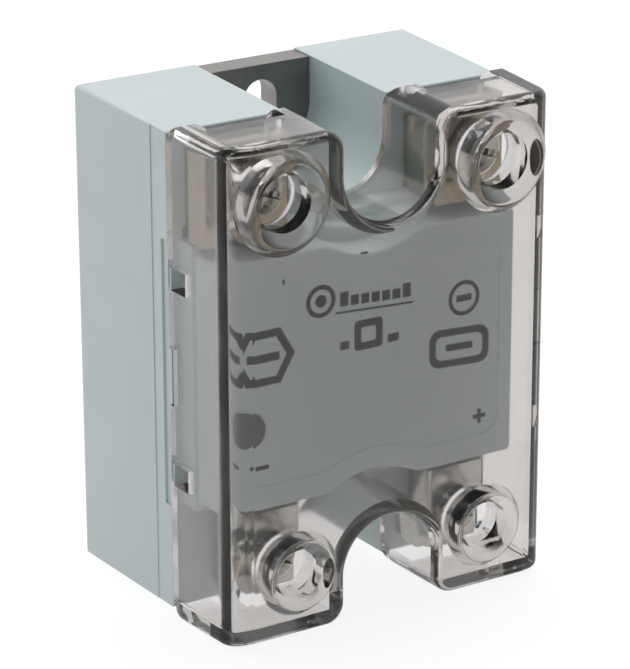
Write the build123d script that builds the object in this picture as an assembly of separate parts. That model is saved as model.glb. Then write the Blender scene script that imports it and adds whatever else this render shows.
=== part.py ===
"""Panel-mount solid state relay with a push-on clear cover.

Millimetres. X is the width, Z the height (the long side) and the mounting face
is the plane Y = 0. The front faces -Y, so a depth is a distance forward from
the mounting face. The origin is the centre of the mounting face.
"""
from build123d import *
import math
import os

LEFT, RIGHT = -1, 1
OUTPUT_END, INPUT_END = 1, -1
BEYOND = 1.0  # how far a cut runs past the face it opens

# Housing: a drafted box with a stepped front and a raised plateau
BODY_WIDTH = 45.2
BODY_HEIGHT = 58.4
BODY_DEPTH = 19.8
BODY_DRAFT = 1.7
BODY_CORNER_R = 0.6
BODY_EDGE_R = 0.25
CAVITY_WIDTH = 40.0
CAVITY_HEIGHT = 54.0
FLOOR_THICK = 2.0
SHOULDER_DEPTH = 16.4
SHOULDER_STEP = 0.12
PAD_STEP = 0.28
LATCH_PAD_DEPTH = 18.3
TIER_WIDTH = 39.2
TIER_HEIGHT = 32.0
TIER_DEPTH = 22.6
TIER_NOTCH_GAP = 0.7
PLATEAU_WIDTH = 38.2
PLATEAU_HEIGHT = 30.0
PLATEAU_DEPTH = 27.2
PLATEAU_WALL = 1.8
PLATEAU_EDGE_R = 0.35
ARCH_R = 10.8
ARCH_SHOULDER_R = 4.0
LABEL_INSET = 1.9
LABEL_RECESS = 0.1
NUT_COLUMN_WALL = 1.7
NUT_COLUMN_REAR = 12.6
SCREW_RELIEF_REAR = 13.3
LEG_SLOT_REAR = 10.0

# Mounting plate and the notches over its screw slots
MOUNT_SPACING = 47.6
SLOT_R = 2.2
SLOT_LENGTH = 6.8
PLATE_THICK = 3.5
PLATE_HEIGHT = 58.0
PLATE_GAP = 0.1
NOTCH_HALF = 6.8
NOTCH_CENTRE = 24.0
NOTCH_WALL = 1.5

# Clear cover
COVER_REAR = 19.9
COVER_FRONT = 32.1
COVER_WIDTH = 44.1
COVER_HEIGHT = 59.8
COVER_DRAFT = 2.0
COVER_SKIN = 2.3
COVER_SIDE_WALL = 1.7
COVER_END_WALL = 1.5
COVER_EDGE_R = 0.9
COVER_SIDE_EDGE_R = 2.5
COVER_ROOM_R = 0.8
COVER_NOTCH_HALF = 6.3
COVER_NOTCH_WALL = 1.5
COVER_SHOULDER_R = 2.4
REAR_CORNER_R = 3.0
ENTRY_DEPTH = 4.4
RING_RISE = 1.1
RING_LIP = 0.4
GUIDE_WALL = 1.1
GUIDE_REAR = 28.3
WINDOW_HALF_WIDTH = 18.5
BEVEL_DROP = 0.5
PRY_HEIGHT = 6.8
PRY_DEPTH = 0.8
LATCH_Z = 11.8
LATCH_HEIGHT = 2.7
LATCH_NEAR = 20.3
LATCH_FAR = 23.5
LUG_CLEARANCE = 0.25

# Terminals
STRIP_THICK = 1.2
STRIP_MARGIN = 0.8
CLAMP_REAR = 21.9
CLAMP_FRONT = 25.2
CLAMP_PLATE = 1.3
CLAMP_LIP = 0.7
CLAMP_EDGE_R = 0.4
WASHER_THICK = 0.5
WASHER_SPLIT = 0.5
THREAD_GAP = 0.05
DRIVE_ANGLE = 20
DRIVE_WIDTH = 0.85
SLOT_DEEP = 0.8
CROSS_DEEP = 1.2
HEAD_EDGE_R = 0.6

# Electronics, from the plate forward
CERAMIC_SIZE = (37.0, 23.0)
CERAMIC_THICK = 0.63
TRACK_THICK = 0.3
POWER_PAD = (17.4, 18.0)
GATE_PAD = (6.0, 2.4)
POWER_Z = 5.2
GATE_Z = -6.2
GATE_PINS_X = (-7.5, -4.5, 4.5, 7.5)
PIN_R = 0.4
DIE_SIZE = 8.0
DIE_THICK = 0.4
DIE_OFFSET = 4.2
DIE_X = 5.6
STRAP_WIDTH = 3.6
STRAP_THICK = 0.5
STRAP_RISE = 1.3
BOARD_SIZE = (33.0, 24.0)
BOARD_NEAR = 9.0
BOARD_FAR = 10.6
TRACK_FAR = PLATE_THICK + CERAMIC_THICK + TRACK_THICK
LED_X, LED_Z = -16.0, -5.1
LED_LEG_X = -15.8
LED_BEZEL_X = -16.7

# The two kinds of terminal: the output pair at the top and the smaller input pair at the bottom
OUTPUT = dict(x=14.4, z=22.5, boss=6.1, crest=5.0, bore=3.3, clamp_width=10.1, thread=2.0, head=3.3,
              head_thick=1.7, nut=7.0, nut_thick=3.2, screw_length=10.0, foot_depth=TRACK_FAR, foot_reach=11.0)
INPUT = dict(x=12.7, z=21.8, boss=5.1, crest=4.2, bore=3.0, clamp_width=7.6, thread=1.5, head=2.8,
             head_thick=1.6, nut=5.5, nut_thick=2.4, screw_length=9.0, foot_depth=BOARD_FAR, foot_reach=10.4)

os.makedirs("parts", exist_ok=True)


def block(width, height, near, far, x=0.0, z=0.0):
    """A box centred on x, z that runs from depth near to depth far."""
    return Pos(x, -(near + far) / 2, z) * Box(width, far - near, height)


def front_plane(depth):
    """The plane at a depth, with its x along X, its y along Z and its normal to the front."""
    return Plane(origin=(0, -depth, 0), x_dir=(1, 0, 0), z_dir=(0, -1, 0))


def prism(sketch, near, far, draft=0.0):
    """A sketch drawn forward from depth near to depth far, narrowing by draft degrees."""
    return extrude(front_plane(near) * sketch, amount=far - near, taper=draft)


def rod(radius, near, far, x=0.0, z=0.0):
    """A cylinder along the depth."""
    return prism(Pos(x, z) * Circle(radius), near, far)


def soften_front(solid, radius):
    """A solid with the rim of its foremost face rounded."""
    return fillet(solid.faces().filter_by(Axis.Y).sort_by(Axis.Y)[0].edges(), radius)


def notch_sketch(half_width, end):
    """A U at one end: a round bottom at the notch centre and straight sides past the end."""
    leg_length = BODY_HEIGHT - NOTCH_CENTRE
    leg = Pos(0, end * (NOTCH_CENTRE + leg_length / 2)) * Rectangle(2 * half_width, leg_length)
    return Pos(0, end * NOTCH_CENTRE) * Circle(half_width) + leg


def arched_sketch(width, height, arch_r, corner_r, shoulder_r):
    """A rectangle whose two ends are hollowed by arcs about the notch centres."""
    sketch = Rectangle(width, height)
    for end in (OUTPUT_END, INPUT_END):
        sketch -= Pos(0, end * NOTCH_CENTRE) * Circle(arch_r)
    corners = [v for v in sketch.vertices() if abs(v.X) > width / 2 - 0.1]
    sketch = fillet(corners, corner_r)
    shoulders = [v for v in sketch.vertices() if abs(v.X) < arch_r and abs(v.Y) > height / 2 - 0.1]
    return fillet(shoulders, shoulder_r)


def terminal_spots():
    """Every terminal: its sizes, its side, its end and its place."""
    for spec, end in ((OUTPUT, OUTPUT_END), (INPUT, INPUT_END)):
        for side in (LEFT, RIGHT):
            yield spec, side, end, side * spec["x"], end * spec["z"]


def pair(make):
    """One compound of the left and the right copy of a piece."""
    return Compound(children=[make(side) for side in (LEFT, RIGHT)])


def save(node, part):
    """Write one node's STEP file."""
    export_step(part, f"parts/{node}.step")


# ---------------------------------------------------------------- housing and plate

def base_plate():
    """The metal plate: a core inside the housing and a tongue out to each end face."""
    plate = block(CAVITY_WIDTH - PLATE_GAP, CAVITY_HEIGHT - PLATE_GAP, 0, PLATE_THICK)
    plate += block(2 * NOTCH_HALF - PLATE_GAP, PLATE_HEIGHT, 0, PLATE_THICK)
    slot = Rotation(0, 0, 90) * SlotOverall(SLOT_LENGTH, 2 * SLOT_R)
    for end in (OUTPUT_END, INPUT_END):
        plate -= prism(Pos(0, end * MOUNT_SPACING / 2) * slot, -BEYOND, PLATE_THICK + BEYOND)
    return plate


def housing_shell():
    """The drafted outer block with its shallow side steps."""
    body = prism(RectangleRounded(BODY_WIDTH, BODY_HEIGHT, BODY_CORNER_R), 0, BODY_DEPTH, BODY_DRAFT)
    body = soften_front(body, BODY_EDGE_R)
    shoulder_x = BODY_WIDTH / 2 - SHOULDER_DEPTH * math.tan(math.radians(BODY_DRAFT)) - SHOULDER_STEP
    pad_x = shoulder_x - PAD_STEP
    for side in (LEFT, RIGHT):
        body -= block(1, 2 * BODY_HEIGHT, SHOULDER_DEPTH, BODY_DEPTH + BEYOND, side * (shoulder_x + 0.5))
        body -= block(1, TIER_HEIGHT, LATCH_PAD_DEPTH, BODY_DEPTH + BEYOND, side * (pad_x + 0.5))
    return body


def tier():
    """The low step round the plateau, with the four lugs that the cover clips over."""
    outline = RectangleRounded(TIER_WIDTH, TIER_HEIGHT, 0.5)
    for end in (OUTPUT_END, INPUT_END):
        outline -= Pos(0, end * NOTCH_CENTRE) * Circle(NOTCH_HALF + NOTCH_WALL + TIER_NOTCH_GAP)
    step = soften_front(prism(outline, BODY_DEPTH - BEYOND, TIER_DEPTH), BODY_EDGE_R)
    lug_height = LATCH_HEIGHT - 2 * LUG_CLEARANCE
    for side in (LEFT, RIGHT):
        for z in (LATCH_Z, -LATCH_Z):
            lug_x = side * (TIER_WIDTH / 2 - 0.2)
            step += block(1, lug_height, LATCH_NEAR + 0.2, TIER_DEPTH - BODY_EDGE_R, lug_x, z)
    return step


def plateau():
    """The raised centre with its shallow printed field."""
    outline = arched_sketch(PLATEAU_WIDTH, PLATEAU_HEIGHT, ARCH_R, 0.6, ARCH_SHOULDER_R)
    field = arched_sketch(PLATEAU_WIDTH - 2 * LABEL_INSET, PLATEAU_HEIGHT - 3 * LABEL_INSET,
                          ARCH_R + 1.4 * LABEL_INSET, 2.4, 4.0)
    raised = soften_front(prism(outline, BODY_DEPTH - BEYOND, PLATEAU_DEPTH), PLATEAU_EDGE_R)
    return raised - prism(field, PLATEAU_DEPTH - LABEL_RECESS, PLATEAU_DEPTH + BEYOND)


def housing_cavity():
    """The room behind the floor and inside the plateau, less the notch walls and nut columns."""
    floor_rear = BODY_DEPTH - FLOOR_THICK
    room = block(CAVITY_WIDTH, CAVITY_HEIGHT, PLATE_THICK, floor_rear)
    for end in (OUTPUT_END, INPUT_END):
        room -= prism(notch_sketch(NOTCH_HALF + NOTCH_WALL, end), PLATE_THICK - BEYOND, floor_rear + BEYOND)
    for spec, side, end, x, z in terminal_spots():
        column = spec["nut"] + 2 * NUT_COLUMN_WALL
        room -= block(column, column, NUT_COLUMN_REAR, floor_rear + BEYOND, x, z)
    upper = arched_sketch(PLATEAU_WIDTH - 2 * PLATEAU_WALL, PLATEAU_HEIGHT - 2 * PLATEAU_WALL,
                          ARCH_R + PLATEAU_WALL, 1.0, 2.0)
    return room + prism(upper, floor_rear - 0.5, PLATEAU_DEPTH - PLATEAU_WALL)


def terminal_pocket(spec, end, x, z):
    """The nut pocket, the screw's relief hole and the slot for the strip's leg at one terminal."""
    pocket = spec["nut"] + 0.1
    nut = block(pocket, pocket, BODY_DEPTH - spec["nut_thick"] - 0.1, BODY_DEPTH + BEYOND, x, z)
    relief = rod(spec["thread"] + 0.5, SCREW_RELIEF_REAR, BODY_DEPTH, x, z)
    leg_z = end * (TIER_HEIGHT / 2 + 0.1 + STRIP_THICK / 2)
    leg_width = spec["clamp_width"] - STRIP_MARGIN
    leg_slot = block(leg_width, STRIP_THICK + 0.1, LEG_SLOT_REAR, BODY_DEPTH + BEYOND, x, leg_z)
    return nut + relief + leg_slot


def housing():
    """The moulded box with its plateau, end notches and terminal pockets."""
    body = housing_shell() + tier() + plateau()
    body -= block(CAVITY_WIDTH, CAVITY_HEIGHT, -BEYOND, PLATE_THICK + 0.01)
    body -= housing_cavity()
    for end in (OUTPUT_END, INPUT_END):
        body -= prism(notch_sketch(NOTCH_HALF, end), -BEYOND, BODY_DEPTH + BEYOND)
    for spec, side, end, x, z in terminal_spots():
        body -= terminal_pocket(spec, end, x, z)
    body -= rod(2.15, PLATEAU_DEPTH - 0.6, PLATEAU_DEPTH + BEYOND, LED_BEZEL_X, LED_Z)
    body -= rod(1.05, PLATEAU_DEPTH - PLATEAU_WALL - BEYOND, PLATEAU_DEPTH, LED_X, LED_Z)
    return body


def led_window():
    """The dark lens over the status lamp, with its short light pipe."""
    lens = rod(2.1, PLATEAU_DEPTH - 0.55, PLATEAU_DEPTH + 0.1, LED_BEZEL_X, LED_Z)
    return lens + rod(1.0, PLATEAU_DEPTH - PLATEAU_WALL, PLATEAU_DEPTH - 0.5, LED_X, LED_Z)


# ---------------------------------------------------------------- clear cover

def cover_profile():
    """The cover's outer section across its width: drafted sides, round long edges and a bevel inside each."""
    foot_x = COVER_WIDTH / 2
    rim_x = foot_x - (COVER_FRONT - BEVEL_DROP - COVER_REAR) * math.tan(math.radians(COVER_DRAFT))
    outline = Polygon((-foot_x, -COVER_REAR), (foot_x, -COVER_REAR), (rim_x, BEVEL_DROP - COVER_FRONT),
                      (WINDOW_HALF_WIDTH, -COVER_FRONT), (-WINDOW_HALF_WIDTH, -COVER_FRONT),
                      (-rim_x, BEVEL_DROP - COVER_FRONT), align=None)
    rims = [v for v in outline.vertices() if abs(v.X) > WINDOW_HALF_WIDTH + BEYOND and v.Y < -COVER_REAR - BEYOND]
    return fillet(rims, COVER_SIDE_EDGE_R)


def cover_skin():
    """The solid outer form of the cover, with its two notches and softened rims."""
    form = extrude(cover_profile(), amount=COVER_HEIGHT, both=True)
    form &= prism(Rectangle(2 * COVER_WIDTH, COVER_HEIGHT), COVER_REAR, COVER_FRONT + BEYOND, COVER_DRAFT)
    for end in (OUTPUT_END, INPUT_END):
        form -= prism(notch_sketch(COVER_NOTCH_HALF, end), COVER_REAR - BEYOND, COVER_FRONT + BEYOND)
    shoulders = [e for e in form.edges() if abs(abs(e.center().X) - COVER_NOTCH_HALF) < 0.05
                 and abs(e.center().Z) > 28.5 and e.length > 5]
    form = fillet(shoulders, COVER_SHOULDER_R)
    inner = COVER_NOTCH_HALF + COVER_SHOULDER_R + 0.1
    ahead = [e for e in form.edges() if e.length < COVER_HEIGHT - 2 * BEYOND and e.center().Y < -COVER_REAR - 2 * BEYOND]
    rims = [e for e in ahead if abs(e.center().X) > inner or e.center().Y < BEVEL_DROP - COVER_FRONT]
    return fillet(rims, COVER_EDGE_R)


def cover_room():
    """The space inside the cover, less the notch walls."""
    outline = RectangleRounded(COVER_WIDTH - 2 * COVER_SIDE_WALL, COVER_HEIGHT - 2 * COVER_END_WALL, COVER_ROOM_R)
    room = prism(outline, COVER_REAR, COVER_FRONT - COVER_SKIN, COVER_DRAFT)
    for end in (OUTPUT_END, INPUT_END):
        room -= prism(notch_sketch(COVER_NOTCH_HALF + COVER_NOTCH_WALL, end), COVER_REAR - BEYOND, COVER_FRONT)
    return room


def guide_ring(spec, x, z):
    """The rim round a driver hole: it swells to a crest and dips to the hole's lip."""
    root = 1.2
    outer, crest, bore = spec["boss"], spec["crest"], spec["bore"]
    swell = Spline((outer, 0), (crest, -RING_RISE), (bore, -RING_LIP), tangents=((-0.9, -0.8), (-0.9, 0.8)))
    sides = Polyline((bore, -RING_LIP), (bore, root), (outer, root), (outer, 0))
    ring = revolve(Plane.XY * make_face(swell + sides), Axis.Y)
    return Pos(x, -COVER_FRONT, z) * ring


def rear_corner_cut(end):
    """The rounding of the rear corners of one end wall, as a solid to take away."""
    outline = Rectangle(REAR_CORNER_R, REAR_CORNER_R, align=(Align.MAX, Align.MAX))
    outline -= Pos(-REAR_CORNER_R, -REAR_CORNER_R) * Circle(REAR_CORNER_R)
    if end == INPUT_END:
        outline = mirror(outline, Plane.XZ)
    edge = Plane.YZ * Pos(-COVER_REAR, end * COVER_HEIGHT / 2) * outline
    return extrude(edge, amount=COVER_WIDTH, both=True)


def cover():
    """The clear cover: skin, walls, notch walls, driver guides, wire entries and latch windows."""
    shell = cover_skin() - cover_room()
    for spec, side, end, x, z in terminal_spots():
        shell += guide_ring(spec, x, z)
        shell += rod(spec["bore"] + GUIDE_WALL, GUIDE_REAR, COVER_FRONT - BEYOND, x, z)
    for spec, side, end, x, z in terminal_spots():
        shell -= rod(spec["bore"], COVER_REAR, COVER_FRONT + 3, x, z)
        end_z = end * COVER_HEIGHT / 2
        shell -= block(spec["clamp_width"], 6, COVER_REAR - BEYOND, COVER_REAR + ENTRY_DEPTH, x, end_z)
    for end in (OUTPUT_END, INPUT_END):
        shell -= rear_corner_cut(end)
    for side in (LEFT, RIGHT):
        wall_x = side * COVER_WIDTH / 2
        shell -= block(3, PRY_HEIGHT, COVER_REAR - BEYOND, COVER_REAR + PRY_DEPTH, wall_x)
        for z in (LATCH_Z, -LATCH_Z):
            shell -= block(6, LATCH_HEIGHT, LATCH_NEAR, LATCH_FAR, wall_x, z)
    return shell


# ---------------------------------------------------------------- terminals

def terminal_strip(spec, end, x, z):
    """A bent strip: the tab under the clamp, the leg through the floor and the foot inside."""
    width = spec["clamp_width"] - 2 * STRIP_MARGIN
    near_z = TIER_HEIGHT / 2 + 0.15
    leg_far = near_z + STRIP_THICK
    tab_end = spec["z"] + 4.6
    front = BODY_DEPTH + STRIP_THICK
    foot_near = spec["foot_depth"]
    tab = block(width, tab_end - near_z, BODY_DEPTH, front, x, end * (tab_end + near_z) / 2)
    leg = block(width, STRIP_THICK, foot_near, front, x, end * (near_z + leg_far) / 2)
    foot_middle = end * (leg_far + spec["foot_reach"]) / 2
    foot = block(width, leg_far - spec["foot_reach"], foot_near, foot_near + STRIP_THICK, x, foot_middle)
    return tab + leg + foot - rod(spec["thread"] + 0.35, BODY_DEPTH - BEYOND, front + BEYOND, x, z)


def wire_clamp(spec, end, x, z):
    """A saddle: a front plate with a lip down each side, which slides along the screw."""
    near_z = TIER_HEIGHT / 2 + 0.3
    far_z = spec["z"] + 4.4
    middle = end * (near_z + far_z) / 2
    width = spec["clamp_width"]
    saddle = block(width, far_z - near_z, CLAMP_REAR, CLAMP_FRONT, x, middle)
    saddle -= block(width - 2 * CLAMP_LIP, 20, CLAMP_REAR - BEYOND, CLAMP_FRONT - CLAMP_PLATE, x, middle)
    saddle = fillet(saddle.edges().filter_by(Axis.Z).group_by(Axis.Y)[0], CLAMP_EDGE_R)
    return saddle - rod(spec["thread"] + 0.3, CLAMP_REAR, CLAMP_FRONT + BEYOND, x, z)


def spring_washer(spec, x, z):
    """A split lock washer under the screw head."""
    near, far = CLAMP_FRONT - BEYOND, CLAMP_FRONT + WASHER_THICK + BEYOND
    washer = rod(spec["head"] - 0.2, CLAMP_FRONT, CLAMP_FRONT + WASHER_THICK, x, z)
    washer -= rod(spec["thread"] + 0.3, near, far, x, z)
    split = Rotation(0, 25, 0) * block(spec["head"] * 2, WASHER_SPLIT, near, far, spec["head"])
    return washer - Pos(x, 0, z) * split


def terminal_screw(spec, x, z):
    """A pan head screw with a slot and a cross, and a chamfered end."""
    seat = CLAMP_FRONT + WASHER_THICK
    top = seat + spec["head_thick"]
    head = soften_front(rod(spec["head"], seat, top, x, z), HEAD_EDGE_R)
    slot = block(spec["head"] * 2.5, DRIVE_WIDTH, top - SLOT_DEEP, top + BEYOND)
    arm = block(spec["head"] * 1.3, DRIVE_WIDTH, top - CROSS_DEEP, top + BEYOND)
    head -= Pos(x, 0, z) * (Rotation(0, DRIVE_ANGLE, 0) * (slot + arm))
    head -= Pos(x, 0, z) * (Rotation(0, DRIVE_ANGLE + 90, 0) * arm)
    shank = rod(spec["thread"] - THREAD_GAP, seat - spec["screw_length"], seat + 0.1, x, z)
    shank = chamfer(shank.edges().filter_by(GeomType.CIRCLE).group_by(Axis.Y)[-1], 0.5)
    return head + shank


def terminal_nut(spec, x, z):
    """A square nut in its pocket under the strip."""
    nut = block(spec["nut"], spec["nut"], BODY_DEPTH - spec["nut_thick"], BODY_DEPTH, x, z)
    return nut - rod(spec["thread"], BODY_DEPTH - 2 * spec["nut_thick"], BODY_DEPTH + BEYOND, x, z)


# ---------------------------------------------------------------- power stage

def ceramic_substrate():
    """The ceramic tile on the plate."""
    return block(*CERAMIC_SIZE, PLATE_THICK, PLATE_THICK + CERAMIC_THICK, 0, 3.2)


def copper_tracks():
    """The two power pads and the two gate pads on the ceramic."""
    near = PLATE_THICK + CERAMIC_THICK
    pads = [block(*POWER_PAD, near, TRACK_FAR, side * 9.4, POWER_Z) for side in (LEFT, RIGHT)]
    pads += [block(*GATE_PAD, near, TRACK_FAR, side * 6, GATE_Z) for side in (LEFT, RIGHT)]
    return Compound(children=pads)


def thyristor_die(side):
    """One silicon die on its power pad."""
    return block(DIE_SIZE, DIE_SIZE, TRACK_FAR, TRACK_FAR + DIE_THICK, side * DIE_X, POWER_Z + side * DIE_OFFSET)


def cathode_strap(side):
    """A bent copper strap from one die over to the other power pad."""
    z = POWER_Z + side * DIE_OFFSET
    die_top = TRACK_FAR + DIE_THICK
    bridge = die_top + STRAP_RISE
    top = bridge + STRAP_THICK
    strap = block(4, STRAP_WIDTH, die_top, die_top + STRAP_THICK, side * DIE_X, z)
    strap += block(STRAP_THICK, STRAP_WIDTH, die_top, top, side * 3.85, z)
    strap += block(7.65, STRAP_WIDTH, bridge, top, side * 0.275, z)
    strap += block(STRAP_THICK, STRAP_WIDTH, TRACK_FAR, top, -side * 3.3, z)
    return strap + block(2.6, STRAP_WIDTH, TRACK_FAR, TRACK_FAR + STRAP_THICK, -side * 2.2, z)


# ---------------------------------------------------------------- control board

def gate_links():
    """The pins that join the board to the gate and cathode pads."""
    return Compound(children=[rod(PIN_R, TRACK_FAR, BOARD_FAR + 0.8, x, GATE_Z) for x in GATE_PINS_X])


def control_board():
    """The printed circuit board, pierced for the pins."""
    board = block(*BOARD_SIZE, BOARD_NEAR, BOARD_FAR)
    for x in GATE_PINS_X:
        board -= rod(PIN_R + 0.05, BOARD_NEAR - BEYOND, BOARD_FAR + BEYOND, x, GATE_Z)
    return board


def opto_coupler():
    """A six-pin package with its legs down to the board."""
    body = block(8.6, 6.4, BOARD_FAR + 0.5, BOARD_FAR + 4.0, 0, -1.5)
    for x in (-2.54, 0, 2.54):
        for row, z in ((LEFT, -5.3), (RIGHT, 2.3)):
            body += block(0.9, 0.3, BOARD_FAR, BOARD_FAR + 2.4, x, z)
            body += block(0.9, 0.8, BOARD_FAR + 2.1, BOARD_FAR + 2.4, x, z - row * 0.4)
    return body


def axial_resistor(x, z, length, radius):
    """A resistor lying along X with its two leads bent down to the board."""
    centre = BOARD_FAR + radius + 0.3
    lie_down = Pos(x, -centre, z) * Rotation(0, 90, 0)
    body = lie_down * Cylinder(radius, length) + lie_down * Cylinder(0.35, length + 3)
    for side in (LEFT, RIGHT):
        body += rod(0.35, BOARD_FAR, centre, x + side * (length / 2 + 1.5), z)
    return body


def film_capacitor():
    """The snubber capacitor, a moulded box."""
    return soften_front(block(13, 5, BOARD_FAR, BOARD_FAR + 10, 4.5, 6.2), 0.6)


def varistor():
    """The disc across the output that limits its voltage."""
    disc = Pos(-11, -(BOARD_FAR + 5.4), 6.0) * Cylinder(4.4, 3.6)
    return disc + rod(0.4, BOARD_FAR, BOARD_FAR + 3, -13, 6.0) + rod(0.4, BOARD_FAR, BOARD_FAR + 3, -9, 6.0)


def driver_transistor():
    """The current-limiting transistor of the input circuit."""
    case = Circle(2.4) - Pos(0, -2.9) * Rectangle(6, 3)
    body = prism(Pos(11.5, -3.5) * case, BOARD_FAR + 3, BOARD_FAR + 7.6)
    for x in (10.2, 11.5, 12.8):
        body += block(0.45, 0.45, BOARD_FAR, BOARD_FAR + 3.2, x, -3.5)
    return body


def status_led():
    """The status lamp on long legs under its light pipe."""
    tip = PLATEAU_DEPTH - PLATEAU_WALL - 0.3
    flange = tip - 3.9
    bulb = rod(1.0, flange, tip, LED_LEG_X, LED_Z) + rod(1.25, flange, flange + 0.7, LED_LEG_X, LED_Z)
    for step in (-0.6, 0.6):
        bulb += block(0.4, 0.4, BOARD_FAR, flange + 0.1, LED_LEG_X, LED_Z + step)
    return bulb


# ---------------------------------------------------------------- write every node

save("base_plate", base_plate())
save("housing", housing())
save("led_window", led_window())
save("cover", cover())
save("ceramic_substrate", ceramic_substrate())
save("copper_tracks", copper_tracks())
save("thyristor_dies", pair(thyristor_die))
save("cathode_straps", pair(cathode_strap))
save("gate_links", gate_links())
save("control_board", control_board())
save("opto_coupler", opto_coupler())
save("input_resistor", axial_resistor(0, -9.6, 6.5, 1.2))
save("snubber_resistor", axial_resistor(10.2, 1.6, 5.0, 1.0))
save("film_capacitor", film_capacitor())
save("varistor", varistor())
save("driver_transistor", driver_transistor())
save("status_led", status_led())
for name, spec, end in (("output", OUTPUT, OUTPUT_END), ("input", INPUT, INPUT_END)):
    z = end * spec["z"]
    save(f"{name}_nuts", pair(lambda side: terminal_nut(spec, side * spec["x"], z)))
    for hand, side in (("left", LEFT), ("right", RIGHT)):
        x = side * spec["x"]
        save(f"{name}_terminal_{hand}", terminal_strip(spec, end, x, z))
        save(f"{name}_clamp_{hand}", wire_clamp(spec, end, x, z))
        save(f"{name}_washer_{hand}", spring_washer(spec, x, z))
        save(f"{name}_screw_{hand}", terminal_screw(spec, x, z))
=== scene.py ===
"""The looks of the solid state relay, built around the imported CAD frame. Lengths are metres unless said."""
import math

import bpy
from mathutils import Matrix, Vector


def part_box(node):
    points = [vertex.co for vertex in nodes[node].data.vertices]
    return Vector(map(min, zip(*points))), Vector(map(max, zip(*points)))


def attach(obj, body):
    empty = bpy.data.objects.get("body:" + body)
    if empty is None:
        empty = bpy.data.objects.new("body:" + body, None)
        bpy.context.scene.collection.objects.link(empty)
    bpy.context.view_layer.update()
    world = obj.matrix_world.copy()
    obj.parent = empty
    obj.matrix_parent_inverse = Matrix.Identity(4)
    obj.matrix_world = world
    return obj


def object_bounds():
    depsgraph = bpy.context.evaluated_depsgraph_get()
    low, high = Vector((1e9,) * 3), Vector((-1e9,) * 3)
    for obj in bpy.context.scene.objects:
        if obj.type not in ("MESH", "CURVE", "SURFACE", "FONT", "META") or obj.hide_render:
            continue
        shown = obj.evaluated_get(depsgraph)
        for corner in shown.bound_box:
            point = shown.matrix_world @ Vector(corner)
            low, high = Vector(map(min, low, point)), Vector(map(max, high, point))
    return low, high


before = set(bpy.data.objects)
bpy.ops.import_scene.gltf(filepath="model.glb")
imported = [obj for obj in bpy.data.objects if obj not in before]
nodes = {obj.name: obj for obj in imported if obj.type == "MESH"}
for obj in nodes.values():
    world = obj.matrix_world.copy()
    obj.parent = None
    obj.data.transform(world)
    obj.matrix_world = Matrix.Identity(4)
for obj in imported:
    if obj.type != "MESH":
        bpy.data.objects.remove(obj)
cad_low, cad_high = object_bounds()

MM = 0.001
ENDS = ("output", "input")
HANDS = ("left", "right")

# ------------------------------------------------------------------ scene and material helpers

NOISE_LOW = 0.3
NOISE_HIGH = 0.7


def link(piece):
    """Adds an object to the scene."""
    bpy.context.scene.collection.objects.link(piece)
    return piece


def new_material(name):
    """A material with its Principled shader."""
    mat = bpy.data.materials.new(name)
    mat.use_nodes = True
    return mat, mat.node_tree.nodes["Principled BSDF"]


def grain(mat, scale, detail, stretch=(1, 1, 1)):
    """Noise in the object's own coordinates; scale is features per metre."""
    tree = mat.node_tree
    coordinates = tree.nodes.new("ShaderNodeTexCoord")
    mapping = tree.nodes.new("ShaderNodeMapping")
    mapping.inputs["Scale"].default_value = stretch
    tree.links.new(coordinates.outputs["Object"], mapping.inputs["Vector"])
    noise = tree.nodes.new("ShaderNodeTexNoise")
    noise.inputs["Scale"].default_value = scale
    noise.inputs["Detail"].default_value = detail
    tree.links.new(mapping.outputs["Vector"], noise.inputs["Vector"])
    return noise.outputs["Fac"]


def spread(mat, value, low, high):
    """A noise value's usual range, mapped to low to high."""
    tree = mat.node_tree
    node = tree.nodes.new("ShaderNodeMapRange")
    node.inputs["From Min"].default_value = NOISE_LOW
    node.inputs["From Max"].default_value = NOISE_HIGH
    node.inputs["To Min"].default_value = low
    node.inputs["To Max"].default_value = high
    tree.links.new(value, node.inputs["Value"])
    return node.outputs["Result"]


def two_tone(mat, shader, value, first, second):
    """The base colour varies between two colours with a value."""
    tree = mat.node_tree
    mix = tree.nodes.new("ShaderNodeMix")
    mix.data_type = "RGBA"
    mix.inputs["A"].default_value = (*first, 1)
    mix.inputs["B"].default_value = (*second, 1)
    tree.links.new(spread(mat, value, 0, 1), mix.inputs["Factor"])
    tree.links.new(mix.outputs["Result"], shader.inputs["Base Color"])


def rough(mat, shader, value, low, high):
    """The roughness varies between low and high with a value."""
    mat.node_tree.links.new(spread(mat, value, low, high), shader.inputs["Roughness"])


def bump(mat, shader, value, depth, strength):
    """Surface relief of a depth in metres."""
    tree = mat.node_tree
    node = tree.nodes.new("ShaderNodeBump")
    node.inputs["Strength"].default_value = strength
    node.inputs["Distance"].default_value = depth
    tree.links.new(value, node.inputs["Height"])
    tree.links.new(node.outputs["Normal"], shader.inputs["Normal"])


# ------------------------------------------------------------------ camera

VIEW_AZIMUTH = -32.021
VIEW_DROP = -20.49
VIEW_ROLL = 0.123
VIEW_DISTANCE = 0.410196
VIEW_RIGHT = 0.008193
VIEW_UP = -0.005296
LENS = 183.55


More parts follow.
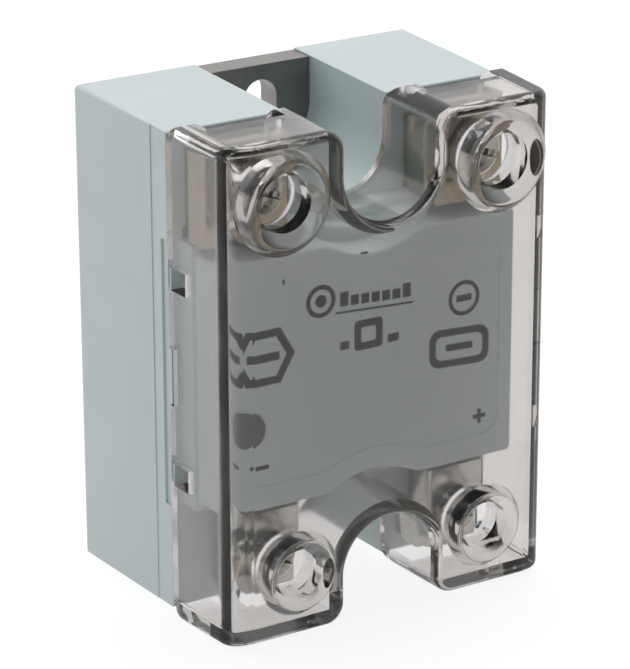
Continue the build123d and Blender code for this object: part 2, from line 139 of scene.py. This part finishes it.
def make_camera():
    """The camera at the viewing angle, aimed a little off the object's centre."""
    turn = Matrix.Rotation(math.radians(VIEW_AZIMUTH), 3, "Z")
    tilt = Matrix.Rotation(math.radians(VIEW_DROP), 3, "X")
    roll = Matrix.Rotation(math.radians(VIEW_ROLL), 3, "Y")
    axes = turn @ tilt @ roll
    place = axes @ Vector((VIEW_RIGHT, -VIEW_DISTANCE, VIEW_UP))
    level = axes @ Matrix.Rotation(math.pi / 2, 3, "X")
    camera = link(bpy.data.objects.new("camera", bpy.data.cameras.new("camera")))
    camera.data.lens = LENS
    camera.data.sensor_width = 36.0
    camera.data.clip_start = 0.01
    camera.data.clip_end = 20.0
    camera.matrix_world = Matrix.Translation(place) @ level.to_4x4()
    bpy.context.scene.camera = camera


# ------------------------------------------------------------------ light

BACK = (0.25, 0.97, 0.0)
FRONT_LIGHT = 0.15
BACK_LIGHT = 1.0
FRONT_TINT = (0.80, 0.95, 1.06)
BACK_TINT = (1.0, 0.995, 0.985)
FADE_START = -0.25
FADE_END = 0.45
LIT_POINT = (0, -0.02, 0)
KEY_COLOUR = (0.84, 0.95, 1.0)


def make_sky():
    """Studio light all round, white from behind, dim and cooler from the front; the backdrop shows white."""
    world = bpy.data.worlds.new("studio")
    bpy.context.scene.world = world
    world.use_nodes = True
    tree = world.node_tree
    tree.nodes.clear()
    coordinates = tree.nodes.new("ShaderNodeTexCoord")
    facing = tree.nodes.new("ShaderNodeVectorMath")
    facing.operation = "DOT_PRODUCT"
    facing.inputs[1].default_value = BACK
    tree.links.new(coordinates.outputs["Generated"], facing.inputs[0])
    share = tree.nodes.new("ShaderNodeMapRange")
    share.interpolation_type = "SMOOTHSTEP"
    share.inputs["From Min"].default_value = FADE_START
    share.inputs["From Max"].default_value = FADE_END
    tree.links.new(facing.outputs["Value"], share.inputs["Value"])
    tint = tree.nodes.new("ShaderNodeMix")
    tint.data_type = "RGBA"
    tint.inputs["A"].default_value = (*[FRONT_LIGHT * part for part in FRONT_TINT], 1)
    tint.inputs["B"].default_value = (*[BACK_LIGHT * part for part in BACK_TINT], 1)
    tree.links.new(share.outputs["Result"], tint.inputs["Factor"])
    light = tree.nodes.new("ShaderNodeBackground")
    tree.links.new(tint.outputs["Result"], light.inputs["Color"])
    white = tree.nodes.new("ShaderNodeBackground")
    white.inputs["Color"].default_value = (1, 1, 1, 1)
    path = tree.nodes.new("ShaderNodeLightPath")
    choose = tree.nodes.new("ShaderNodeMixShader")
    tree.links.new(path.outputs["Is Camera Ray"], choose.inputs[0])
    tree.links.new(light.outputs[0], choose.inputs[1])
    tree.links.new(white.outputs[0], choose.inputs[2])
    output = tree.nodes.new("ShaderNodeOutputWorld")
    tree.links.new(choose.outputs[0], output.inputs["Surface"])


def softbox(name, place, width, height, power, colour=(1, 1, 1)):
    """A rectangular area light at place that faces the part."""
    data = bpy.data.lights.new(name, "AREA")
    data.shape = "RECTANGLE"
    data.size = width
    data.size_y = height
    data.energy = power
    data.color = colour
    lamp = link(bpy.data.objects.new(name, data))
    lamp.location = place
    aim = Vector(LIT_POINT) - Vector(place)
    lamp.rotation_euler = aim.to_track_quat("-Z", "Y").to_euler()


def make_lamps():
    """A broad lamp above and behind, a weak strip on the left and a small cool key from the front left."""
    softbox("top_box", (0.10, 0.10, 0.55), width=0.45, height=0.35, power=1.12)
    softbox("left_strip", (-0.60, -0.02, 0.20), width=0.10, height=0.5, power=0.15)
    softbox("key_box", (-0.33, -0.66, 0.69), width=0.18, height=0.18, power=0.6, colour=KEY_COLOUR)


# ------------------------------------------------------------------ floor

FLOOR_REACH = 6.0
FLOOR_GREY = (0.22, 0.22, 0.22, 1)
FLOOR_GLOW = 0.87
FLOOR_DIM = 0.12
DIM_Y = -0.12
BRIGHT_Y = 0.08


def floor_paper():
    """Pale paper with a glow; the light that it casts is dimmer toward the front."""
    mat, shader = new_material("floor_paper")
    shader.inputs["Base Color"].default_value = FLOOR_GREY
    shader.inputs["Roughness"].default_value = 1.0
    shader.inputs["Specular IOR Level"].default_value = 0.0
    shader.inputs["Emission Color"].default_value = (1, 1, 1, 1)
    tree = mat.node_tree
    coordinates = tree.nodes.new("ShaderNodeTexCoord")
    depth = tree.nodes.new("ShaderNodeSeparateXYZ")
    tree.links.new(coordinates.outputs["Object"], depth.inputs["Vector"])
    glow = tree.nodes.new("ShaderNodeMapRange")
    glow.inputs["From Min"].default_value = DIM_Y
    glow.inputs["From Max"].default_value = BRIGHT_Y
    glow.inputs["To Min"].default_value = FLOOR_DIM
    glow.inputs["To Max"].default_value = FLOOR_GLOW
    tree.links.new(depth.outputs["Y"], glow.inputs["Value"])
    path = tree.nodes.new("ShaderNodeLightPath")
    seen = tree.nodes.new("ShaderNodeMath")
    seen.operation = "MAXIMUM"
    tree.links.new(path.outputs["Is Camera Ray"], seen.inputs[0])
    tree.links.new(path.outputs["Is Transmission Ray"], seen.inputs[1])
    level = tree.nodes.new("ShaderNodeMix")
    level.inputs["B"].default_value = FLOOR_GLOW
    tree.links.new(seen.outputs["Value"], level.inputs["Factor"])
    tree.links.new(glow.outputs["Result"], level.inputs["A"])
    tree.links.new(level.outputs["Result"], shader.inputs["Emission Strength"])
    return mat


def make_floor(height):
    """A wide pale floor under the part, which lights it more from behind than from the front."""
    mesh = bpy.data.meshes.new("floor")
    signs = ((-1, -1), (1, -1), (1, 1), (-1, 1))
    corners = [(sx * FLOOR_REACH, sy * FLOOR_REACH, height) for sx, sy in signs]
    mesh.from_pydata(corners, [], [(0, 1, 2, 3)])
    mesh.materials.append(floor_paper())
    floor = link(bpy.data.objects.new("floor", mesh))


# ------------------------------------------------------------------ materials

CLEAR_TINT = (0.985, 0.98, 0.985, 1)
CLEAR_IOR = 1.56
CLEAR_SHADOW = (0.88, 0.872, 0.865, 1)
SMOKE_TINT = (0.50, 0.45, 0.41, 1)
SMOKE_DENSITY = 150.0
DRAWN = (1, 1, 0.3)
ROLLED = (1, 1, 0.05)


def housing_plastic():
    """Pale blue-grey moulded polyester with a fine spark-eroded grain."""
    mat, shader = new_material("housing_plastic")
    two_tone(mat, shader, grain(mat, scale=90, detail=3), (0.685, 0.760, 0.760), (0.715, 0.790, 0.788))
    fine = grain(mat, scale=5200, detail=2)
    rough(mat, shader, fine, 0.50, 0.62)
    bump(mat, shader, fine, depth=0.012 * MM, strength=0.5)
    shader.inputs["Specular IOR Level"].default_value = 0.4
    return mat


def clear_polycarbonate():
    """Clear, slightly smoky polycarbonate that lets lamp light through to what it covers."""
    mat, shader = new_material("clear_polycarbonate")
    tree = mat.node_tree
    shader.inputs["Base Color"].default_value = CLEAR_TINT
    shader.inputs["Transmission Weight"].default_value = 1.0
    shader.inputs["IOR"].default_value = CLEAR_IOR
    rough(mat, shader, grain(mat, scale=160, detail=3), 0.05, 0.12)
    bump(mat, shader, grain(mat, scale=90, detail=2), depth=0.03 * MM, strength=0.35)
    output = tree.nodes["Material Output"]
    through = tree.nodes.new("ShaderNodeBsdfTransparent")
    through.inputs["Color"].default_value = CLEAR_SHADOW
    path = tree.nodes.new("ShaderNodeLightPath")
    choose = tree.nodes.new("ShaderNodeMixShader")
    tree.links.new(path.outputs["Is Shadow Ray"], choose.inputs[0])
    tree.links.new(shader.outputs[0], choose.inputs[1])
    tree.links.new(through.outputs[0], choose.inputs[2])
    tree.links.new(choose.outputs[0], output.inputs["Surface"])
    smoke = tree.nodes.new("ShaderNodeVolumeAbsorption")
    smoke.inputs["Color"].default_value = SMOKE_TINT
    smoke.inputs["Density"].default_value = SMOKE_DENSITY
    tree.links.new(smoke.outputs[0], output.inputs["Volume"])
    return mat


def plated_metal(name, first, second, roughness, streak=(1, 1, 1)):
    """Metal with a slightly uneven colour and fine streaks, which a streak value draws out along Z."""
    mat, shader = new_material(name)
    two_tone(mat, shader, grain(mat, scale=420, detail=3), first, second)
    streaks = grain(mat, scale=2600, detail=4, stretch=streak)
    rough(mat, shader, streaks, roughness * 0.75, roughness * 1.3)
    bump(mat, shader, streaks, depth=0.010 * MM, strength=0.6)
    shader.inputs["Metallic"].default_value = 1.0
    return mat


def plain_plastic(name, first, second, roughness, coat=0.0):
    """A small moulded or dipped part."""
    mat, shader = new_material(name)
    two_tone(mat, shader, grain(mat, scale=700, detail=3), first, second)
    fine = grain(mat, scale=6000, detail=2)
    rough(mat, shader, fine, roughness * 0.85, roughness * 1.15)
    bump(mat, shader, fine, depth=0.008 * MM, strength=0.5)
    shader.inputs["Coat Weight"].default_value = coat
    return mat


def printed_ink():
    """Dark grey pad-printed ink, a little thin in places."""
    mat, shader = new_material("printed_ink")
    two_tone(mat, shader, grain(mat, scale=2500, detail=3), (0.016, 0.019, 0.021), (0.030, 0.034, 0.037))
    shader.inputs["Roughness"].default_value = 0.55
    return mat


def board_laminate():
    """Green solder resist over a glass weave."""
    mat, shader = new_material("board_laminate")
    tree = mat.node_tree
    two_tone(mat, shader, grain(mat, scale=900, detail=2), (0.012, 0.095, 0.045), (0.020, 0.130, 0.060))
    coordinates = tree.nodes.new("ShaderNodeTexCoord")
    weave = tree.nodes.new("ShaderNodeTexWave")
    weave.inputs["Scale"].default_value = 900.0
    weave.inputs["Distortion"].default_value = 0.6
    tree.links.new(coordinates.outputs["Object"], weave.inputs["Vector"])
    bump(mat, shader, weave.outputs["Fac"], depth=0.010 * MM, strength=0.4)
    shader.inputs["Roughness"].default_value = 0.32
    return mat


def give(mat, *names):
    """Sets one material on CAD nodes."""
    for name in names:
        mesh = nodes[name].data
        mesh.materials.clear()
        mesh.materials.append(mat)


def dress_outside(steel):
    """Materials for the housing, plate, cover, lamp window and terminals."""
    # The plate's aluminium colour is darker than bare aluminium: partly its dull mill grey, partly painted
    # shade standing in for the shade on the plate inside the cover's notches.
    aluminium = plated_metal("aluminium_partly_painted_shade", (0.235, 0.232, 0.225), (0.265, 0.262, 0.255), 0.34, ROLLED)
    brass = plated_metal("passivated_brass", (0.27, 0.235, 0.18), (0.36, 0.315, 0.245), 0.20, DRAWN)
    tinned = plated_metal("tinned_brass", (0.42, 0.41, 0.39), (0.52, 0.51, 0.485), 0.20, DRAWN)
    lens = plain_plastic("lamp_lens", (0.012, 0.014, 0.016), (0.025, 0.030, 0.034), 0.16, coat=0.6)
    give(housing_plastic(), "housing")
    give(clear_polycarbonate(), "cover")
    give(aluminium, "base_plate")
    give(lens, "led_window")
    for hand in HANDS:
        give(brass, f"output_terminal_{hand}", f"output_clamp_{hand}")
        give(tinned, f"input_terminal_{hand}", f"input_clamp_{hand}")
        for end in ENDS:
            give(steel, f"{end}_washer_{hand}", f"{end}_screw_{hand}")


def dress_inside(steel):
    """Materials for the nuts, the power stage, the control board and its parts."""
    ceramic = plain_plastic("ceramic", (0.80, 0.79, 0.76), (0.86, 0.85, 0.82), 0.45)
    copper = plated_metal("copper", (0.80, 0.42, 0.26), (0.88, 0.52, 0.35), 0.32)
    silicon = plated_metal("silicon", (0.17, 0.18, 0.22), (0.24, 0.25, 0.30), 0.16)
    epoxy = plain_plastic("epoxy_package", (0.018, 0.018, 0.020), (0.032, 0.032, 0.034), 0.5)
    lacquer = plain_plastic("resistor_lacquer", (0.55, 0.44, 0.28), (0.62, 0.52, 0.36), 0.35, coat=0.4)
    red_box = plain_plastic("capacitor_box", (0.45, 0.06, 0.03), (0.55, 0.09, 0.04), 0.25, coat=0.3)
    blue_coat = plain_plastic("varistor_coat", (0.03, 0.09, 0.32), (0.05, 0.12, 0.40), 0.3, coat=0.5)
    green_resin = plain_plastic("lamp_resin", (0.08, 0.42, 0.10), (0.12, 0.50, 0.14), 0.15, coat=0.5)
    give(steel, "output_nuts", "input_nuts")
    give(ceramic, "ceramic_substrate")
    give(copper, "copper_tracks", "cathode_straps", "gate_links")
    give(silicon, "thyristor_dies")
    give(board_laminate(), "control_board")
    give(epoxy, "opto_coupler", "driver_transistor")
    give(lacquer, "input_resistor", "snubber_resistor")
    give(red_box, "film_capacitor")
    give(blue_coat, "varistor")
    give(green_resin, "status_led")


# ------------------------------------------------------------------ screw threads

# Each end's screw: the thread's outer radius and its pitch.
THREADS = {"output": (2.0 * MM, 0.7 * MM), "input": (1.5 * MM, 0.5 * MM)}
THREAD_LENGTH = 2.7 * MM
# How far ahead of the clamp's rear edge the ridge begins.
THREAD_INSET = 0.4 * MM
RIDGE_ROOT = 0.12 * MM
RIDGE_CREST = 0.1 * MM
RIDGE_HALF_FOOT = 0.42
STEPS_PER_TURN = 36


def screw_thread(end, hand, mat):
    """The helical ridge on the stretch of a screw that shows between its clamp and its strip."""
    radius, pitch = THREADS[end]
    low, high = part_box(f"{end}_screw_{hand}")
    x, z = (low.x + high.x) / 2, (low.z + high.z) / 2
    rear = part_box(f"{end}_clamp_{hand}")[1].y - THREAD_INSET
    root, crest = radius - RIDGE_ROOT, radius + RIDGE_CREST
    half_foot = RIDGE_HALF_FOOT * pitch
    section = ((root, -half_foot), (crest, 0.0), (root, half_foot))
    steps = round(THREAD_LENGTH / pitch * STEPS_PER_TURN)
    points = []
    for i in range(steps + 1):
        angle = 2 * math.pi * i / STEPS_PER_TURN
        y = rear - pitch * i / STEPS_PER_TURN
        points += [(x + r * math.cos(angle), y + dy, z + r * math.sin(angle)) for r, dy in section]
    faces = [(0, 1, 2), (3 * steps + 2, 3 * steps + 1, 3 * steps)]
    for i in range(steps):
        near, far = 3 * i, 3 * i + 3
        for a, b in ((0, 1), (1, 2), (2, 0)):
            faces.append((near + b, near + a, far + a, far + b))
    mesh = bpy.data.meshes.new(f"{end}_thread_{hand}")
    mesh.from_pydata(points, [], faces)
    mesh.materials.append(mat)
    piece = link(bpy.data.objects.new(mesh.name, mesh))
    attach(piece, f"{end}_{hand}_screw")


def make_threads(steel):
    """One ridge on each of the four screws."""
    for end in ENDS:
        for hand in HANDS:
            screw_thread(end, hand, steel)


# ------------------------------------------------------------------ printed marks

INK_THICK = 0.02 * MM
LABEL_RECESS = 0.1 * MM

# The marks' outlines are points in X and Z, in millimetres from the part's centre.
CIRCLE_POINTS = 48
HEXAGON_POINTS = 6
CORNER_STEPS = 4
SLANT = -0.06
EMBLEM = (-7.16, 8.6)
ROUND_SEAL = (12.25, 5.3)
HEXAGON_SEAL = (-14.4, 3.3)
PLUS_SIGN = (14.6, -9.8)
NAME_BARS = 7


def flat_mark(name, outlines, face_y, mat):
    """Thin printed shapes from closed outlines, with holes where outlines nest."""
    curve = bpy.data.curves.new(name, "CURVE")
    curve.dimensions = "2D"
    curve.fill_mode = "BOTH"
    curve.extrude = INK_THICK / 2
    for outline in outlines:
        spline = curve.splines.new("POLY")
        spline.points.add(len(outline) - 1)
        spline.use_cyclic_u = True
        for point, (x, z) in zip(spline.points, outline):
            point.co = (x * MM, z * MM, 0, 1)
    draft = bpy.data.objects.new(name + "_outline", curve)
    mesh = bpy.data.meshes.new_from_object(draft)
    bpy.data.objects.remove(draft)
    upright = Matrix.Rotation(math.pi / 2, 4, "X")
    mesh.transform(Matrix.Translation((0, face_y - INK_THICK / 2, 0)) @ upright)
    mesh.name = name
    mesh.materials.append(mat)
    piece = link(bpy.data.objects.new(name, mesh))
    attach(piece, "relay_body")


def ring_outlines(centre, radii, count=CIRCLE_POINTS):
    """Closed rings of points about a centre, one for each radius."""
    x, z = centre
    angles = [2 * math.pi * i / count for i in range(count)]
    return [[(x + radius * math.cos(a), z + radius * math.sin(a)) for a in angles] for radius in radii]


def bar_outline(x0, x1, z0, z1, slant=0.0, radius=0.12):
    """A bar with round corners; a slant lifts its right end."""
    points = []
    corners = ((x1 - radius, z1 - radius, 0), (x0 + radius, z1 - radius, 1),
               (x0 + radius, z0 + radius, 2), (x1 - radius, z0 + radius, 3))
    for cx, cz, quarter in corners:
        for step in range(CORNER_STEPS + 1):
            angle = (quarter + step / CORNER_STEPS) * math.pi / 2
            points.append((cx + radius * math.cos(angle), cz + radius * math.sin(angle)))
    middle = (x0 + x1) / 2
    return [(x, z + slant * (x - middle)) for x, z in points]


def rating_bars():
    """Four short bars near the top of the plateau."""
    return [bar_outline(-1.9, -0.9, 11.6, 13.4), bar_outline(-0.5, 0.4, 12.3, 12.6),
            bar_outline(0.8, 1.7, 11.3, 13.1), bar_outline(2.0, 3.0, 11.2, 12.9)]


def name_bars():
    """A falling row of bars, tall at both ends, over a slanted line."""
    bars = []
    for i in range(NAME_BARS):
        x = -4.6 + i * 1.4
        foot = 8.2 - 0.09 * i - 0.75
        tall = 1.7 if i in (0, NAME_BARS - 1) else 1.2
        bars.append(bar_outline(x, x + 1.1, foot, foot + tall))
    line = bar_outline(-5.2, 5.2, 6.35, 6.6, SLANT, 0.1)
    return bars + [line]


def square_seal():
    """A hollow square with a small bar on each side."""
    return [bar_outline(-2.7, 1.1, 1.7, 5.3, radius=0.5), bar_outline(-1.8, 0.2, 2.6, 4.4, radius=0.3),
            bar_outline(-4.6, -3.4, 2.2, 3.2), bar_outline(1.8, 3.3, 1.9, 2.9)]


def round_seal():
    """A ring around a bar."""
    return ring_outlines(ROUND_SEAL, (2.15, 1.65)) + [bar_outline(11.2, 13.3, 4.9, 5.7)]


def wide_seal():
    """A hollow rounded rectangle around a bar, slanted."""
    return [bar_outline(7.5, 15.8, -2.9, 1.8, SLANT, 1.4), bar_outline(8.4, 14.9, -2.0, 0.9, SLANT, 0.8),
            bar_outline(9.8, 13.5, -0.95, -0.1, SLANT)]


def hexagon_seal():
    """A hollow hexagon around a bar."""
    return ring_outlines(HEXAGON_SEAL, (3.8, 2.7), HEXAGON_POINTS) + [bar_outline(-16.2, -12.6, 2.8, 3.8)]


def corner_line():
    """A thin bent line on the upper left of the plateau."""
    return [[(-12.15, 13.5), (-9.8, 13.2), (-9.8, 12.95), (-11.9, 13.2), (-11.9, 11.5), (-12.15, 11.5)]]


def input_signs():
    """A plus on the right and a minus on the left, above the input terminals."""
    x, z = PLUS_SIGN
    arm, half = 0.9, 0.25
    plus = [(-half, arm), (half, arm), (half, half), (arm, half), (arm, -half), (half, -half),
            (half, -arm), (-half, -arm), (-half, -half), (-arm, -half), (-arm, half), (-half, half)]
    return [[(px + x, pz + z) for px, pz in plus], bar_outline(-15.9, -14.1, -10.05, -9.55)]


def make_prints():
    """Generic marks in place of the printed ones: no letters, names or approval marks."""
    ink = printed_ink()
    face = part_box("housing")[0].y + LABEL_RECESS
    flat_mark("print_rating_bars", rating_bars(), face, ink)
    flat_mark("print_emblem", ring_outlines(EMBLEM, (1.95, 1.4, 0.75)), face, ink)
    flat_mark("print_name_bars", name_bars(), face, ink)
    flat_mark("print_seal_square", square_seal(), face, ink)
    flat_mark("print_seal_round", round_seal(), face, ink)
    flat_mark("print_seal_wide", wide_seal(), face, ink)
    flat_mark("print_seal_hexagon", hexagon_seal(), face, ink)
    flat_mark("print_corner_line", corner_line(), face, ink)
    flat_mark("print_input_signs", input_signs(), face, ink)


# ------------------------------------------------------------------ build

bpy.context.scene.view_settings.view_transform = "Standard"
make_camera()
make_sky()
make_lamps()
make_floor(cad_low.z)
zinc_steel = plated_metal("zinc_steel", (0.42, 0.39, 0.35), (0.54, 0.51, 0.46), 0.22)
dress_outside(zinc_steel)
make_threads(zinc_steel)
dress_inside(zinc_steel)
make_prints()
